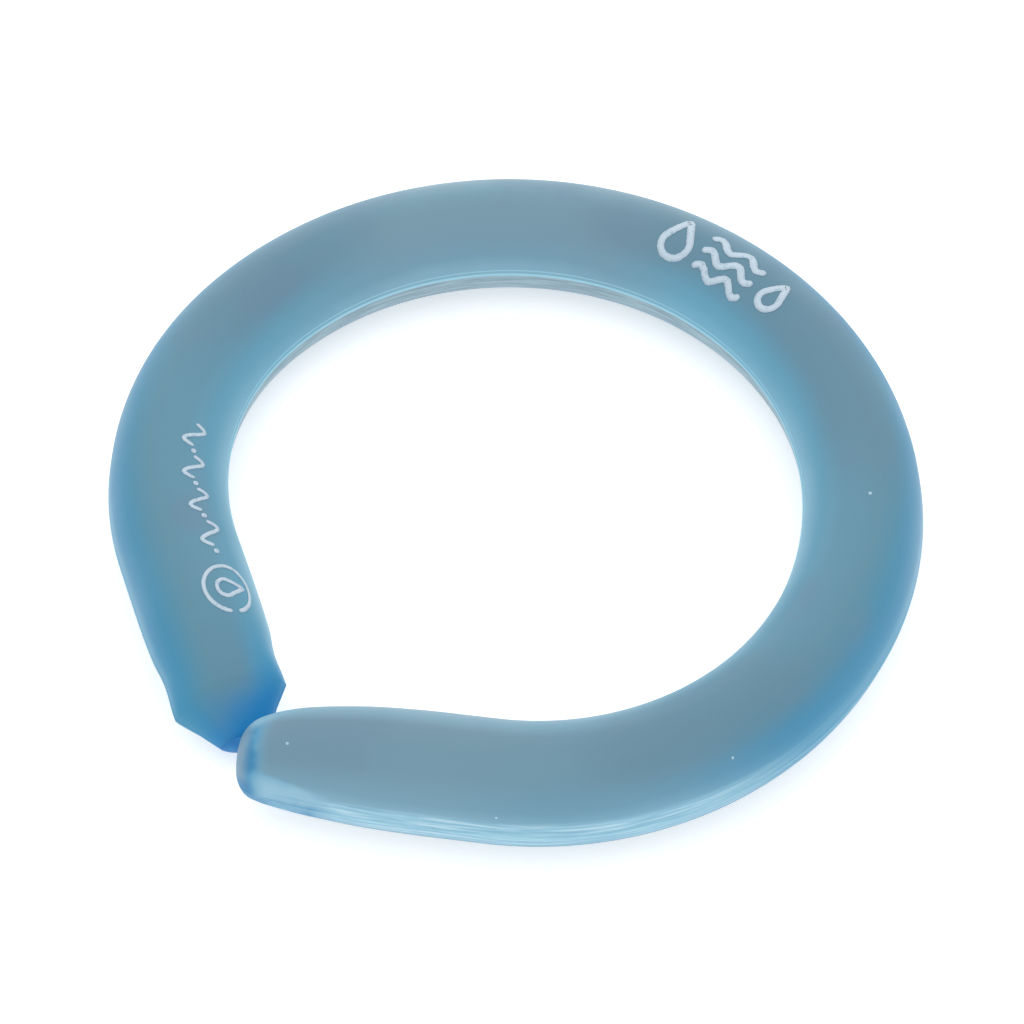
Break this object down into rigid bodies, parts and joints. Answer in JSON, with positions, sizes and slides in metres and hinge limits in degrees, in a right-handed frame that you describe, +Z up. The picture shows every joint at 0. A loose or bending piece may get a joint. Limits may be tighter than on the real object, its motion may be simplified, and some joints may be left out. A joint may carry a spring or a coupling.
{
  "type": "cooling neck ring",
  "caption": "C-shaped soft tube filled with coolant, worn round the neck. One arm ends rounded, the other in a chamfered, welded tail.",
  "frame": {"origin": "middle of the ring's box, on the surface that it lies on", "axes": "+Z up through the ring, -Y towards the wearer's front, where the two arms meet, +X towards the arm with the rounded tip"},
  "size_m": [0.1754, 0.1776, 0.0243],
  "materials": {
    "frosted_tpu": "frosted, translucent",
    "welded_tpu": "satin, clear blue",
    "coolant": "cloudy gel"
  },
  "bodies": {
    "root": {"outer_sleeve": "frosted_tpu", "filling_mouth_weld": "welded_tpu", "coolant_core": "coolant"}
  },
  "joints": []
}
